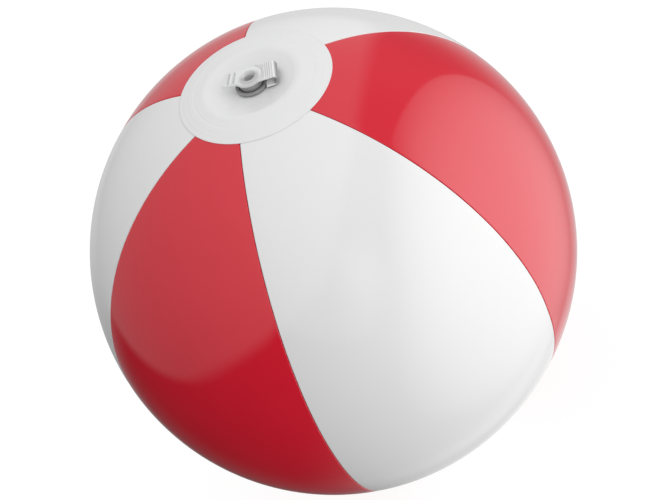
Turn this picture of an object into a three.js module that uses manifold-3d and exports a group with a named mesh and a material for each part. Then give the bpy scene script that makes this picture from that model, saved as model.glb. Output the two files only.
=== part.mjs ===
// Inflatable beach ball, blown up: six PVC gores, two end patches and a tethered valve.
// Millimetres, +Z up along the valve, origin at the centre of the ball.
import * as THREE from 'three';
import { mergeVertices } from 'three/addons/utils/BufferGeometryUtils.js';
import Module from 'manifold-3d';

const wasm = await Module();
wasm.setup();

// Ball skin
const BALL_RADIUS = 127.5;
const FILM = 0.25;
const GAP = 0.3;
const FACET_DEG = 7.5;
const PATCH_FACET_DEG = 3;
// Directions of the six welds round the seam pole, in the order the gores follow.
// The blown-up film stretches unevenly, so the gores are not all exactly 60 degrees wide.
const WELD_AZIMUTHS = [250.1, 310.4, 374.4, 435.3, 497.0, 552.2];
const SEAM_POLE_TILT = 3.94;
const SEAM_POLE_AZIMUTH = 231.9;
const WELD_FIN_DEPTH = 4.5;
const GORE_HOLE_RADIUS = 31;

// End patches, welded over the gore ends from outside
const PATCH_RADIUS = 38.9;
const PATCH_THICKNESS = 0.5;
const PATCH_TILT = 0.55;
const PATCH_AZIMUTH = 27;
const PATCH_DISH_RADIUS = 24;
const PATCH_FLOOR_RADIUS = 12.5;
const PATCH_FLOOR_Z = 122.6;
const BASE_FLAT_RADIUS = 9;

// Valve stem
const STEM_RADIUS = 6;
const STEM_TOP_Z = 127.3;
const BORE_RADIUS = 3.8;
const FLANGE_RADIUS = 10.5;
const FLANGE_THICKNESS = 1.2;
const INNER_TUBE_RADIUS = 5.6;
const INNER_TUBE_END_Z = 108;

// Plug
const HEAD_RADIUS = 7;
const HEAD_THICKNESS = 1.6;
const SHANK_RADIUS = 3.5;
const SHANK_LENGTH = 7;
const RECESS_MOUTH_RADIUS = 3.4;
const RECESS_RADIUS = 2.3;
const RECESS_DEPTH = 7.2;
const TAB_REACH = 12.8;
const TAB_WIDTH = 9.2;
const TAB_THICKNESS = 1.3;
const TAB_AZIMUTH = 156;
const GRIP_RIB_HEIGHT = 0.4;
const GRIP_RIB_WIDTH = 0.8;
const GRIP_RIB_REACHES = [9, 11];

// Tether
const TETHER_AZIMUTH = -13;
const TETHER_WIDTH = 12;
const TETHER_THICKNESS = 1;
const TETHER_RING_RADIUS = 8.2;
const TETHER_RING_TOP_Z = 124.4;
const TETHER_BEND_REACH = 11.2;

// Non-return flap
const FLAP_RADIUS = 5.3;
const FLAP_THICKNESS = 0.8;
const FLAP_EAR_REACH = 6.9;
const FLAP_EAR_WIDTH = 4;

const RED = 0xb8222c;
const WHITE = 0xf0f0f0;
const CLEAR = 0xe4e6e6;
const rad = THREE.MathUtils.degToRad;

// A solid for joining and cutting from a closed three.js geometry.
function solid(geometry) {
  const bare = geometry.clone();
  bare.deleteAttribute('normal');
  bare.deleteAttribute('uv');
  const merged = mergeVertices(bare, 1e-4);
  const index = merged.index.array;
  const triangles = [];
  for (let i = 0; i < index.length; i += 3) {
    const [a, b, c] = [index[i], index[i + 1], index[i + 2]];
    if (a !== b && b !== c && c !== a) {
      triangles.push(a, b, c);
    }
  }
  const mesh = new wasm.Mesh({
    numProp: 3,
    vertProperties: new Float32Array(merged.attributes.position.array),
    triVerts: new Uint32Array(triangles),
  });
  return new wasm.Manifold(mesh);
}

// A named, coloured mesh from a finished solid.
function part(name, shape, color, roughness) {
  const mesh = shape.getMesh();
  const geometry = new THREE.BufferGeometry();
  geometry.setAttribute('position', new THREE.BufferAttribute(mesh.vertProperties, 3));
  geometry.setIndex(new THREE.BufferAttribute(mesh.triVerts, 1));
  geometry.computeVertexNormals();
  const material = new THREE.MeshStandardMaterial({ color, roughness, metalness: 0 });
  const result = new THREE.Mesh(geometry, material);
  result.name = name;
  return result;
}

// A body of revolution about Z. The profile is a list of [radius, z] pairs, anticlockwise
// with the radius to the right and z up.
function turned(profile, facetDeg = FACET_DEG) {
  const points = profile.map(([radius, z]) => new THREE.Vector2(radius, z));
  const geometry = new THREE.LatheGeometry(points, Math.round(360 / facetDeg));
  return solid(geometry.rotateX(Math.PI / 2));
}

function closedLoop(profile) {
  return [...profile, profile[0]];
}

// Points of an arc about the ball's centre, from one colatitude to another.
function ballArc(radius, fromDeg, toDeg, facetDeg = FACET_DEG) {
  const steps = Math.max(1, Math.round(Math.abs(toDeg - fromDeg) / facetDeg));
  return Array.from({ length: steps + 1 }, (_, i) => {
    const angle = rad(fromDeg + ((toDeg - fromDeg) * i) / steps);
    return [radius * Math.sin(angle), radius * Math.cos(angle)];
  });
}

// A closed band of the ball between two radii.
function ballBand(innerRadius, outerRadius, fromDeg, toDeg) {
  const outer = ballArc(outerRadius, toDeg, fromDeg);
  const inner = ballArc(innerRadius, fromDeg, toDeg);
  return turned(closedLoop([...outer, ...inner]));
}

function box(xs, ys, zs) {
  const geometry = new THREE.BoxGeometry(xs[1] - xs[0], ys[1] - ys[0], zs[1] - zs[0]);
  geometry.translate((xs[0] + xs[1]) / 2, (ys[0] + ys[1]) / 2, (zs[0] + zs[1]) / 2);
  return geometry;
}

function turnAbout(tiltDeg, azimuthDeg) {
  const axis = new THREE.Vector3(-Math.sin(rad(azimuthDeg)), Math.cos(rad(azimuthDeg)), 0);
  return new THREE.Matrix4().makeRotationAxis(axis, rad(tiltDeg));
}

// A round cutter along an axis through the ball's centre, on one side of it only.
function roundCutter(radius, matrix, side) {
  const length = 1.2 * BALL_RADIUS;
  const cutter = new THREE.CylinderGeometry(radius, radius, length, 72);
  cutter.rotateX(Math.PI / 2);
  cutter.translate(0, 0, (side * length) / 2);
  return solid(cutter.applyMatrix4(matrix));
}

const seamFrame = turnAbout(SEAM_POLE_TILT, SEAM_POLE_AZIMUTH);
const patchFrame = turnAbout(PATCH_TILT, PATCH_AZIMUTH);
const straight = new THREE.Matrix4();

// The wedge between two weld planes, set in from each plane by a given distance.
function gapWedge(fromDeg, toDeg, inset) {
  const reach = 2 * BALL_RADIUS;
  const half = rad((toDeg - fromDeg) / 2);
  const middle = rad((toDeg + fromDeg) / 2);
  const apex = inset / Math.sin(half);
  const outline = new THREE.Shape();
  outline.moveTo(apex, 0);
  outline.lineTo(apex + reach * Math.cos(half), -reach * Math.sin(half));
  outline.lineTo(apex + reach * Math.cos(half), reach * Math.sin(half));
  outline.closePath();
  const geometry = new THREE.ExtrudeGeometry(outline, {
    depth: 4 * BALL_RADIUS,
    bevelEnabled: false,
  });
  geometry.translate(0, 0, -2 * BALL_RADIUS);
  geometry.rotateZ(middle);
  return solid(geometry.applyMatrix4(seamFrame));
}

// One gore: a film skin whose two long edges turn inward as weld fins.
function gore(fromDeg, toDeg) {
  const finRadius = BALL_RADIUS - WELD_FIN_DEPTH;
  const whole = ballBand(finRadius, BALL_RADIUS, 12, 168)
    .intersect(gapWedge(fromDeg, toDeg, GAP / 2));
  const inside = ballBand(finRadius - 2, BALL_RADIUS - FILM, 6, 174)
    .intersect(gapWedge(fromDeg, toDeg, GAP / 2 + FILM));
  return whole
    .subtract(inside)
    .subtract(roundCutter(GORE_HOLE_RADIUS, patchFrame, 1))
    .subtract(roundCutter(GORE_HOLE_RADIUS, straight, -1));
}

// The patch round the valve: it follows the ball at its rim and dishes in to a flat floor.
function valvePatch() {
  const outerRadius = BALL_RADIUS + GAP + PATCH_THICKNESS;
  const rimDeg = 20;
  const dishDeg = THREE.MathUtils.radToDeg(Math.asin(PATCH_DISH_RADIUS / outerRadius));
  const dishEdge = ballArc(outerRadius, dishDeg, rimDeg, PATCH_FACET_DEG);
  const drop = dishEdge[0][1] - PATCH_FLOOR_Z;
  const surface = [[STEM_RADIUS + GAP, PATCH_FLOOR_Z], [PATCH_FLOOR_RADIUS, PATCH_FLOOR_Z]];
  for (const share of [0.25, 0.5, 0.75]) {
    const radius = THREE.MathUtils.lerp(PATCH_FLOOR_RADIUS, PATCH_DISH_RADIUS, share);
    const rise = 0.3 * share + 0.7 * Math.sin((share * Math.PI) / 2);
    surface.push([radius, PATCH_FLOOR_Z + drop * rise]);
  }
  const top = [...surface, ...dishEdge];
  const under = top.map(([radius, z]) => [radius, z - PATCH_THICKNESS]);
  return turned(closedLoop([...under, ...top.reverse()]))
    .intersect(roundCutter(PATCH_RADIUS, patchFrame, 1));
}

// The patch at the other end, with the small flat that the ball rests on.
function basePatch() {
  const outerRadius = BALL_RADIUS + GAP + PATCH_THICKNESS;
  const rimDeg = THREE.MathUtils.radToDeg(Math.asin(PATCH_RADIUS / outerRadius));
  const flatDeg = THREE.MathUtils.radToDeg(Math.asin(BASE_FLAT_RADIUS / outerRadius));
  const outer = ballArc(outerRadius, 180 - rimDeg, 180 - flatDeg, PATCH_FACET_DEG);
  const inner = outer.map(([radius, z]) => [radius, z + PATCH_THICKNESS]).reverse();
  return turned([
    [0, outer[outer.length - 1][1]],
    ...outer.slice().reverse(),
    ...inner.slice().reverse(),
    [0, inner[0][1]],
  ]);
}

// Stem, flange welded under the patch, and the soft tube inside the ball.
function valveStem() {
  const flangeTop = PATCH_FLOOR_Z - PATCH_THICKNESS - GAP;
  const flangeBottom = flangeTop - FLANGE_THICKNESS;
  return turned(closedLoop([
    [BORE_RADIUS, INNER_TUBE_END_Z],
    [INNER_TUBE_RADIUS, INNER_TUBE_END_Z],
    [INNER_TUBE_RADIUS, flangeBottom],
    [FLANGE_RADIUS, flangeBottom],
    [FLANGE_RADIUS, flangeTop],
    [STEM_RADIUS, flangeTop],
    [STEM_RADIUS, STEM_TOP_Z],
    [BORE_RADIUS, STEM_TOP_Z],
  ]), 10);
}

// Plug: a head with a pull tab, on a hollow shank that fills the bore.
function plug() {
  const headBottom = STEM_TOP_Z + GAP;
  const headTop = headBottom + HEAD_THICKNESS;
  const body = turned([
    [0, headBottom - SHANK_LENGTH],
    [SHANK_RADIUS - 0.4, headBottom - SHANK_LENGTH],
    [SHANK_RADIUS, headBottom - SHANK_LENGTH + 0.8],
    [SHANK_RADIUS, headBottom],
    [HEAD_RADIUS, headBottom],
    [HEAD_RADIUS, headTop],
    [RECESS_MOUTH_RADIUS, headTop],
    [RECESS_RADIUS, headTop - 1.4],
    [RECESS_RADIUS, headTop - RECESS_DEPTH],
    [0, headTop - RECESS_DEPTH],
  ], 10);
  const tab = box(
    [HEAD_RADIUS - 1.5, TAB_REACH],
    [-TAB_WIDTH / 2, TAB_WIDTH / 2],
    [headTop - TAB_THICKNESS, headTop],
  );
  let result = body.add(solid(tab.rotateZ(rad(TAB_AZIMUTH))));
  for (const reach of GRIP_RIB_REACHES) {
    const rib = box(
      [reach - GRIP_RIB_WIDTH / 2, reach + GRIP_RIB_WIDTH / 2],
      [-0.4 * TAB_WIDTH, 0.4 * TAB_WIDTH],
      [headTop - 0.5, headTop + GRIP_RIB_HEIGHT],
    );
    result = result.add(solid(rib.rotateZ(rad(TAB_AZIMUTH))));
  }
  return result;
}

// Tether: a ring round the stem's foot and a strap that doubles back up to the plug's edge.
function tether() {
  const ringBottom = PATCH_FLOOR_Z + GAP + 0.1;
  const ring = turned(closedLoop([
    [STEM_RADIUS + GAP, ringBottom],
    [TETHER_RING_RADIUS, ringBottom],
    [TETHER_RING_RADIUS, TETHER_RING_TOP_Z],
    [STEM_RADIUS + GAP, TETHER_RING_TOP_Z],
  ]), 10);
  const headTop = STEM_TOP_Z + GAP + HEAD_THICKNESS;
  const lowZ = TETHER_RING_TOP_Z - TETHER_THICKNESS;
  const bendZ = (lowZ + headTop) / 2;
  const outerBend = (headTop - lowZ) / 2;
  const innerBend = outerBend - TETHER_THICKNESS;
  const section = new THREE.Shape();
  section.moveTo(HEAD_RADIUS, lowZ);
  section.lineTo(TETHER_BEND_REACH, lowZ);
  section.absarc(TETHER_BEND_REACH, bendZ, outerBend, -Math.PI / 2, Math.PI / 2, false);
  section.lineTo(HEAD_RADIUS + GAP, headTop);
  section.lineTo(HEAD_RADIUS + GAP, headTop - TETHER_THICKNESS);
  section.absarc(TETHER_BEND_REACH, bendZ, innerBend, Math.PI / 2, -Math.PI / 2, true);
  section.lineTo(HEAD_RADIUS, lowZ + TETHER_THICKNESS);
  section.closePath();
  const strap = new THREE.ExtrudeGeometry(section, {
    depth: TETHER_WIDTH,
    bevelEnabled: false,
    curveSegments: 10,
  });
  strap.translate(0, 0, -TETHER_WIDTH / 2);
  strap.rotateX(Math.PI / 2);
  strap.rotateZ(rad(TETHER_AZIMUTH));
  return ring.add(solid(strap));
}

// Flap that closes the tube's inner end; its ear is the living hinge on the +Y side.
function checkFlap() {
  const top = INNER_TUBE_END_Z - GAP;
  const disc = turned([
    [0, top - FLAP_THICKNESS],
    [FLAP_RADIUS, top - FLAP_THICKNESS],
    [FLAP_RADIUS, top],
    [0, top],
  ], 15);
  const ear = box(
    [-FLAP_EAR_WIDTH / 2, FLAP_EAR_WIDTH / 2],
    [FLAP_RADIUS - 2, FLAP_EAR_REACH],
    [top - FLAP_THICKNESS, top],
  );
  return disc.add(solid(ear));
}

const group = new THREE.Group();
for (let i = 0; i < WELD_AZIMUTHS.length; i += 1) {
  const fromDeg = WELD_AZIMUTHS[i];
  const toDeg = i + 1 < WELD_AZIMUTHS.length ? WELD_AZIMUTHS[i + 1] : WELD_AZIMUTHS[0] + 360;
  const white = i % 2 === 0;
  const number = Math.floor(i / 2) + 1;
  const name = `${white ? 'gore_white' : 'gore_red'}_${number}`;
  group.add(part(name, gore(fromDeg, toDeg), white ? WHITE : RED, 0.25));
}
group.add(part('valve_patch', valvePatch(), CLEAR, 0.3));
group.add(part('base_patch', basePatch(), CLEAR, 0.3));
group.add(part('valve_stem', valveStem(), CLEAR, 0.15));
group.add(part('tether', tether(), CLEAR, 0.15));
group.add(part('plug', plug(), CLEAR, 0.15));
group.add(part('check_flap', checkFlap(), CLEAR, 0.2));

export default group;
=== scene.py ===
"""Inflated beach ball: glossy red and white film gores, milky end patches, tethered plug valve.

Metres, +Z out through the valve, origin at the centre of the ball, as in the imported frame.
"""
import math

import bpy
import numpy as np
from mathutils import Matrix, Vector


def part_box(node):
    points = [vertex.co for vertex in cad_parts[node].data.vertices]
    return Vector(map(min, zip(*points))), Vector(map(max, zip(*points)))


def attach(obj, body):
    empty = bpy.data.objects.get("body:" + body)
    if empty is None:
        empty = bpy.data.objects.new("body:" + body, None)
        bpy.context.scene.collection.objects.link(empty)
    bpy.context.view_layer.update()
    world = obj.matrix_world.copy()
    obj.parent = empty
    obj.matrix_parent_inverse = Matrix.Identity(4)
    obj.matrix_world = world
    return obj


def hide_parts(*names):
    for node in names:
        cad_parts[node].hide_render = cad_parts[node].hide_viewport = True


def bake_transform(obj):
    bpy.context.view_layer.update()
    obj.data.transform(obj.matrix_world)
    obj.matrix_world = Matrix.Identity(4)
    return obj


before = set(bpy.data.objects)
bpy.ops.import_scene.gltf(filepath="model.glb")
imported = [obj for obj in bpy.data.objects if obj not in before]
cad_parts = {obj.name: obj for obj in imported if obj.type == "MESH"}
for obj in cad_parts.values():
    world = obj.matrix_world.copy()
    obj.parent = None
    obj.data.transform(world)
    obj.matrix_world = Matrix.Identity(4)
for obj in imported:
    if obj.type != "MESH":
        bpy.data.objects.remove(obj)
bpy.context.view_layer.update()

MM = 0.001


def mesh_points(mesh):
    """A mesh's points as an array."""
    return np.array([v.co for v in mesh.vertices], float)


# ---------------------------------------------------------------- sizes taken from the frame
GORES = [f"gore_{colour}_{number}" for number in (1, 2, 3) for colour in ("white", "red")]
BALL_RADIUS = float(np.linalg.norm(mesh_points(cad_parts[GORES[0]].data), axis=1).max())
STEM_LOW, STEM_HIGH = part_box("valve_stem")
PLUG_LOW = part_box("plug")[0]
TETHER_LOW, TETHER_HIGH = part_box("tether")
FLAP_LOW, FLAP_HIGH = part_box("check_flap")
STEM_TOP = STEM_HIGH.z
HEAD_TOP = TETHER_HIGH.z
FLANGE_RADIUS = STEM_HIGH.x

# ---------------------------------------------------------------- gores
FILM = 0.25 * MM
# The welds meet at a pole of their own, a little off the valve's axis.
SEAM_POLE_TILT = 3.94
SEAM_POLE_AZIMUTH = 231.9
WELD_AZIMUTHS = [250.1, 310.4, 374.4, 435.3, 497.0, 552.2]
WELD_GAP = 0.3 * MM
WELD_FIN = 4.5 * MM
WELD_ROLL = 0.32 * MM
ROLL_STEPS = 7
VALLEY_DEPTH = 0.10 * MM
VALLEY_REACH = 3.0 * MM
GORE_HOLE = 31 * MM
GORE_ROWS = 150
GORE_COLUMNS = 44
GORE_CROWDING = 0.12
# How far each weld wanders sideways, at these angles from the seam pole.
WANDER_ANGLES = (20, 55, 90)
WANDER_LAST = 92
WANDER_FADE = (88, 135)
WELD_WANDER = [
    (-1.75 * MM, -0.40 * MM, 0.45 * MM),
    (0.95 * MM, 0.70 * MM, -1.30 * MM),
    (1.50 * MM, 0.60 * MM, 0.00 * MM),
    (0.20 * MM, 0.00 * MM, 0.00 * MM),
    (0.20 * MM, -1.20 * MM, -1.20 * MM),
    (0.75 * MM, -1.40 * MM, -3.20 * MM),
]

# ---------------------------------------------------------------- end patches
PATCH_RADIUS = 38.9 * MM
PATCH_TILT = 0.55
PATCH_AZIMUTH = 27
PATCH_LIFT = 0.05 * MM
PATCH_FILM = 0.2 * MM
PATCH_ROWS = 140
PATCH_COLUMNS = 192
PATCH_HOLE_GAP = 0.25 * MM
DISH_RADIUS = 24 * MM
FLOOR_RADIUS = 12 * MM
FLOOR_Z = 122.6 * MM
FLOOR_SOFTNESS = 1.5 * MM
DISH_EDGE_SOFTNESS = 0.7 * MM
BASE_FLAT = 9 * MM
BASE_FLAT_SOFTNESS = 0.05 * MM
BASE_HOLE = 0.5 * MM
# Relief of the patches: (radius or distance from the rim, half-width, height).
CREST = (21.8 * MM, 0.9 * MM, 0.07 * MM)
RIM_BEADS = [
    (0.7 * MM, 0.5 * MM, 0.05 * MM),
    (3.4 * MM, 0.5 * MM, 0.035 * MM),
    (6.0 * MM, 0.5 * MM, 0.035 * MM),
    (9.6 * MM, 0.5 * MM, 0.035 * MM),
]
BAND_WIDTH = 13 * MM
GORE_STEP = 0.12 * MM
GORE_STEP_RUN = (-0.4 * MM, 0.9 * MM)

# ---------------------------------------------------------------- valve stem
TURN_SEGMENTS = 96
CORNER_STEPS = 6
CORNER_SHARE = 0.45
STEM_RADIUS = 6 * MM
STEM_EDGE = 0.35 * MM
BORE_RADIUS = 3.8 * MM
INNER_TUBE_RADIUS = 5.6 * MM
FLANGE_TOP = 121.8 * MM
FLANGE_THICKNESS = 1.2 * MM

# ---------------------------------------------------------------- plug
HEAD_RADIUS = 7 * MM
HEAD_THICKNESS = 1.6 * MM
HEAD_EDGE = 0.45 * MM
HEAD_UNDERCUT = 0.3 * MM
UNDERCUT_RUN = (6.7 * MM, 7.4 * MM)
SHANK_RADIUS = 3.5 * MM
SHANK_FILLET = 0.3 * MM
# (radius against the shank's, height over the tip), up the rounded end and the shank.
SHANK_PROFILE = [
    (-0.5 * SHANK_RADIUS, 0),
    (-0.5 * MM, 0),
    (-0.25 * MM, 0.1 * MM),
    (-0.08 * MM, 0.35 * MM),
    (0, 0.8 * MM),
    (0, 2 * MM),
    (0, 4 * MM),
]
RECESS_MOUTH = 3.4 * MM
RECESS_LIP = 0.35 * MM
RECESS_DEPTH = 7.2 * MM
# (radius against the mouth's, depth under the head's top), down the recess and over its floor.
RECESS_PROFILE = [
    (0.12 * MM, 0.08 * MM),
    (0, 0.3 * MM),
    (-0.5 * MM, 0.9 * MM),
    (-0.95 * MM, 1.35 * MM),
    (-1.1 * MM, 1.8 * MM),
    (-1.1 * MM, 3.5 * MM),
    (-1.1 * MM, 5.2 * MM),
    (-1.12 * MM, 6.7 * MM),
    (-1.25 * MM, 7.0 * MM),
    (-1.6 * MM, RECESS_DEPTH),
    (-2.4 * MM, RECESS_DEPTH),
]
TOP_STEPS = 46
UNDERSIDE_STEPS = 24
EDGE_STEPS = 5
TONGUE_SPAN = 44
TONGUE_STEPS = 177
DISC_STEPS = 110
TONGUE_FARTHEST = 4
TINY = 1e-3
TAB_AZIMUTH = 156
TAB_WIDTH = 9.2 * MM
TAB_REACH = 12.8 * MM
TAB_BLEND = 0.5 * MM
# Cross ribs and grooves on the tab: (reach, half-width, height).
TAB_GRIPS = [
    (9 * MM, 0.42 * MM, 0.4 * MM),
    (11 * MM, 0.42 * MM, 0.4 * MM),
    (7.4 * MM, 0.5 * MM, -0.8 * MM),
    (10.0 * MM, 0.5 * MM, -0.8 * MM),
]
GRIP_SIDES = (0.36 * TAB_WIDTH, 0.44 * TAB_WIDTH)
# Painted shade in the tab's grooves: its darkness, half-width, how far across and how deep it reaches.
GROOVE_PAINTED_SHADE = 0.45
GROOVE_PAINTED_SHADE_WIDTH = 0.55 * MM
GROOVE_PAINTED_SHADE_SIDE = 0.43 * TAB_WIDTH
GROOVE_PAINTED_SHADE_DEPTH = 1.1 * MM

# ---------------------------------------------------------------- tether
TETHER_AZIMUTH = -13
TETHER_WIDTH = 12 * MM
TETHER_THICKNESS = 1 * MM
TETHER_BEND_REACH = 11.2 * MM
TETHER_RING_RADIUS = 8.2 * MM
RING_HEIGHT = 1.4 * MM
RING_CLEARANCE = 0.3 * MM
RING_EDGE = 0.4 * MM
STRAP_EDGE = 0.3 * MM
STRAP_OVERLAP = 0.8 * MM
STRAP_END_RUN = 0.9 * MM
STRAP_LAST_RUN = 0.3 * MM
STRAP_END_STEP = 0.25 * MM
STRAP_CLEARANCE = 0.05 * MM
STRAP_POINT_SPACING = 0.5 * MM
STRAP_BEND_END = 0.9
STRAP_RIBS = 4
STRAP_RIB_SPACING = 1.0 * MM
STRAP_RIB_WIDTH = 0.26 * MM
STRAP_RIB_HEIGHT = 0.4 * MM
STRAP_RIB_SIDE = 0.86
STRAP_RIB_MIDDLE = 0.5
STRAP_STEPS_OUT = 16
STRAP_STEPS_BEND = 41
STRAP_STEPS_BACK = 49
# Painted shade on the strap, inside its loop and between its ribs, and a painted dark reflection round
# its bend; pairs are the start and end of a smooth step along its bend or its top.
LOOP_PAINTED_SHADE = 0.8
LOOP_PAINTED_SHADE_FOOT = (0, 0.1)
BEND_PAINTED_DARK_FOOT = (0.1, 0.3)
BEND_PAINTED_DARK_TOP = (0.84, 0.66)
RIB_PAINTED_SHADE = 0.4
RIB_PAINTED_SHADE_END = (4.2 * MM, 3.6 * MM)

# ---------------------------------------------------------------- check flap
FLAP_RADIUS = 5.25 * MM
FLAP_TONGUE_HALF = 2 * MM
FLAP_BLEND = 0.3 * MM
FLAP_EDGE = 0.2 * MM
FLAP_GATE = 0.12 * MM
FLAP_GATE_RADIUS = 1.2 * MM
FLAP_HINGE_AZIMUTH = 90
FLAP_STEPS = 16
FLAP_EDGE_STEPS = 4

# ---------------------------------------------------------------- colours and finishes
RED = (0.75, 0.016, 0.038)
RED_DEEP = (0.70, 0.012, 0.030)
WHITE = (0.885, 0.885, 0.885)
WHITE_DEEP = (0.865, 0.865, 0.865)
PATCH_COLOUR = (0.875, 0.875, 0.875)
PATCH_SHADE = (0.84, 0.84, 0.845)
CLEAR_COLOUR = (0.96, 0.96, 0.96)
CLEAR_SHADE = (0.88, 0.89, 0.89)
# Painted see-through shade: the grey stem under the clear head, painted into the head's colour.
PAINTED_SEE_THROUGH_COLOUR = (0.60, 0.60, 0.605)
# The strap's own milky white, brightened further as a painted highlight.
STRAP_COLOUR_AND_HIGHLIGHT = (0.99, 0.99, 0.99)
STRAP_SHADE = (0.95, 0.95, 0.95)
# The stem and ring's grey is painted shade: clear PVC darkened for the shade under the head and the
# dark inside seen through it.
STEM_PAINTED_SHADE_COLOUR = (0.44, 0.44, 0.445)
STEM_SHADE = (0.37, 0.37, 0.375)
PVC_IOR = 1.52
RED_ROUGHNESS = 0.07
WHITE_ROUGHNESS = 0.09
SCUFFED = 1.35
PATCH_ROUGHNESS = 0.24
MOULDING_ROUGHNESS = 0.08
MOULDING_ROUGHNESS_RANGE = (0.05, 0.16)
# Noises as (features per metre, detail), and the height of the bumps made from some of them.
FILM_CLOUD = (28, 4)
FILM_SCUFF = (160, 6, 0.6)
FILM_SWELL = (22, 1)
FILM_SWELL_HEIGHT = 0.05 * MM
FILM_PEEL = (900, 2)
FILM_PEEL_HEIGHT = 0.0012 * MM
PATCH_CLOUD = (90, 4)
PATCH_SWELL = (24, 1)
PATCH_SWELL_HEIGHT = 0.05 * MM
MOULDING_CLOUD = (260, 4)
MOULDING_SCUFF = (700, 4)
MOULDING_FLOW = (380, 2)
MOULDING_FLOW_HEIGHT = 0.07 * MM
NOISE_RANGE = (0.3, 0.7)
# Painted see-through shade on the clear head, for the grey stem under it: where, how wide and how it
# fades.
PAINTED_SEE_THROUGH_OFFSET = (0, 2.0 * MM, 0)
PAINTED_SEE_THROUGH_RADIUS = 4.0 * MM
PAINTED_SEE_THROUGH_FADE = 2.0 * MM
# Painted shade on the mouldings: by their painted-shade attribute (stored under the name edge) and by
# ambient occlusion in their crevices.
PAINTED_SHADE_ATTRIBUTE = "edge"
PAINTED_SHADE_LEVEL = 0.3
OPEN_SHADE = 0.95
CREVICE_SHADE_REACH = 4 * MM
CREVICE_SHADE_RANGE = (0.75, 0.15)
CLEAR_TRANSMISSION = 0.12
STRAP_TRANSMISSION = 0.05
STEM_TRANSMISSION = 0.2

# ---------------------------------------------------------------- camera
CAMERA_ELEVATION = 44.06
CAMERA_ROLL = 26.02
CAMERA_DISTANCE = 7 * BALL_RADIUS
CAMERA_LENS = 91.17
CAMERA_SHIFT = 0.0019
SENSOR_WIDTH = 36
CLIP_START = 0.01

# ---------------------------------------------------------------- studio, by direction
# x, y and z are the camera's right, up and back. A pair is the start and end of a smooth step.
BACKDROP = 1.0
ROOM_DARK = 0.03
ROOM_LIGHT = 0.42
ROOM_HORIZON = (-0.35, 0.05)
FRONT_LEVEL = 0.5
FRONT_EDGE = (0.70, 0.80)
TOP_SHADE = 0.2
TOP_SHADE_UP = (0.3, 0.8)
TOP_SHADE_AWAY = (0.0, -0.6)
# Glow from the lower right, strongest short of the ball's rim.
GLOW = 1.3
GLOW_TURN = (-0.2, 1.0)
GLOW_BELOW = (-0.3, 0.25)
GLOW_RIM = (-0.88, -0.70)
GLOW_AT_RIM = 0.3
# Light from behind the ball, mirrored only near its rim.
BEHIND = 0.07
BEHIND_ABOVE = 0.1
BEHIND_BELOW = 0.4
BEHIND_EDGE = (-0.6, -0.97)
BEHIND_ABOVE_EDGE = (-0.15, 0.15)
BEHIND_BELOW_EDGE = (-0.2, 0.0)
BEHIND_TURN = (0.0, 0.5)
# White wall on the left: its level, and the planes (x, y, z, offset, softness) that bound it.
WALL_LEVEL = 0.76
WALL_UP = 0.33
WALL_BACK = 0.45
WALL_PLANES = [
    (-1.10, 1, 0.31, 0.09, 0.10),
    (-1.12, 1, 0.80, 0, 0.08),
    (-1, 0.18, 0, 0, 0.06),
]
# Big soft box on the right, drawn on the plane x = 1 as (up, back) pairs.
BOX_LEVEL = 3.6
BOX_PEAK = (0.1, 0.45)
BOX_FALL = (1 / 3.125, 0.5)
BOX_CENTRE = (0.2, 0.7)
BOX_HALF = (1.8, 2.2)
BOX_SOFT = 0.02
BOX_SOFT_BELOW = 0.2
BOX_SOFT_EDGE = (-0.2, 0.4)
# Soft light on the matt colours, as terms in x, y and z.
DIFFUSE_EVEN = 0.555
DIFFUSE_RIGHT = 0.232
DIFFUSE_UP = 0.40
DIFFUSE_SIDES = 0.08
DIFFUSE_CORNER = -0.274
DIFFUSE_BEHIND_RIGHT = -0.119
DIFFUSE_BEHIND_UP = -0.093
DIFFUSE_ENDS = 0.50
LAMP = 0.26
LAMP_AXIS = (0.85, -0.50, 0.15)
LAMP_EDGE = (0.1, 1.0)
# Smallest values divided by, on the view's axis and on the soft box's plane.
TURN_GUARD = 0.01
PLANE_GUARD = 0.001
BOX_SIDE_EDGE = (0.0, 0.01)
STUDIO_FLOOR_REACH = 6.0
STUDIO_FLOOR_COLOUR = (0.15, 0.15, 0.15)
STUDIO_FLOOR_ROUGHNESS = 0.9
STUDIO_FLOOR_GLOW = 0.9


def direction(azimuth_deg, tilt_deg):
    """Unit vector at an angle from +Z, towards an azimuth."""
    azimuth, tilt = math.radians(azimuth_deg), math.radians(tilt_deg)
    return np.array([
        math.sin(tilt) * math.cos(azimuth),
        math.sin(tilt) * math.sin(azimuth),
        math.cos(tilt),
    ])


def tilt_matrix(tilt_deg, azimuth_deg):
    """Rotation that carries +Z over to the given direction by the shortest way."""
    azimuth = math.radians(azimuth_deg)
    axis = Vector((-math.sin(azimuth), math.cos(azimuth), 0))
    return np.array(Matrix.Rotation(math.radians(tilt_deg), 3, axis))


def turn_about_z(azimuth_deg):
    """Rotation about +Z."""
    a = math.radians(azimuth_deg)
    return np.array([[math.cos(a), -math.sin(a), 0], [math.sin(a), math.cos(a), 0], [0, 0, 1]])


def smoothstep(low, high, value):
    """Zero at low, one at high and smooth between; low may be the larger."""
    t = np.clip((value - low) / (high - low), 0, 1)
    return t * t * (3 - 2 * t)


def crossing_angles(pole, side, target, cos_angle):
    """Angles from pole towards side at which the direction makes a given angle with target."""
    a, b = pole @ target, side @ target
    middle = math.atan2(b, a)
    away = math.acos(cos_angle / math.hypot(a, b))
    return middle - away, middle + away


# ---------------------------------------------------------------- mesh helpers
def signed_volume(mesh):
    """Six times the enclosed volume, negative if the faces point inward."""
    mesh.calc_loop_triangles()
    triangles = np.array([t.vertices for t in mesh.loop_triangles])
    corners = mesh_points(mesh)[triangles]
    return float((corners[:, 0] * np.cross(corners[:, 1], corners[:, 2])).sum())


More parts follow.
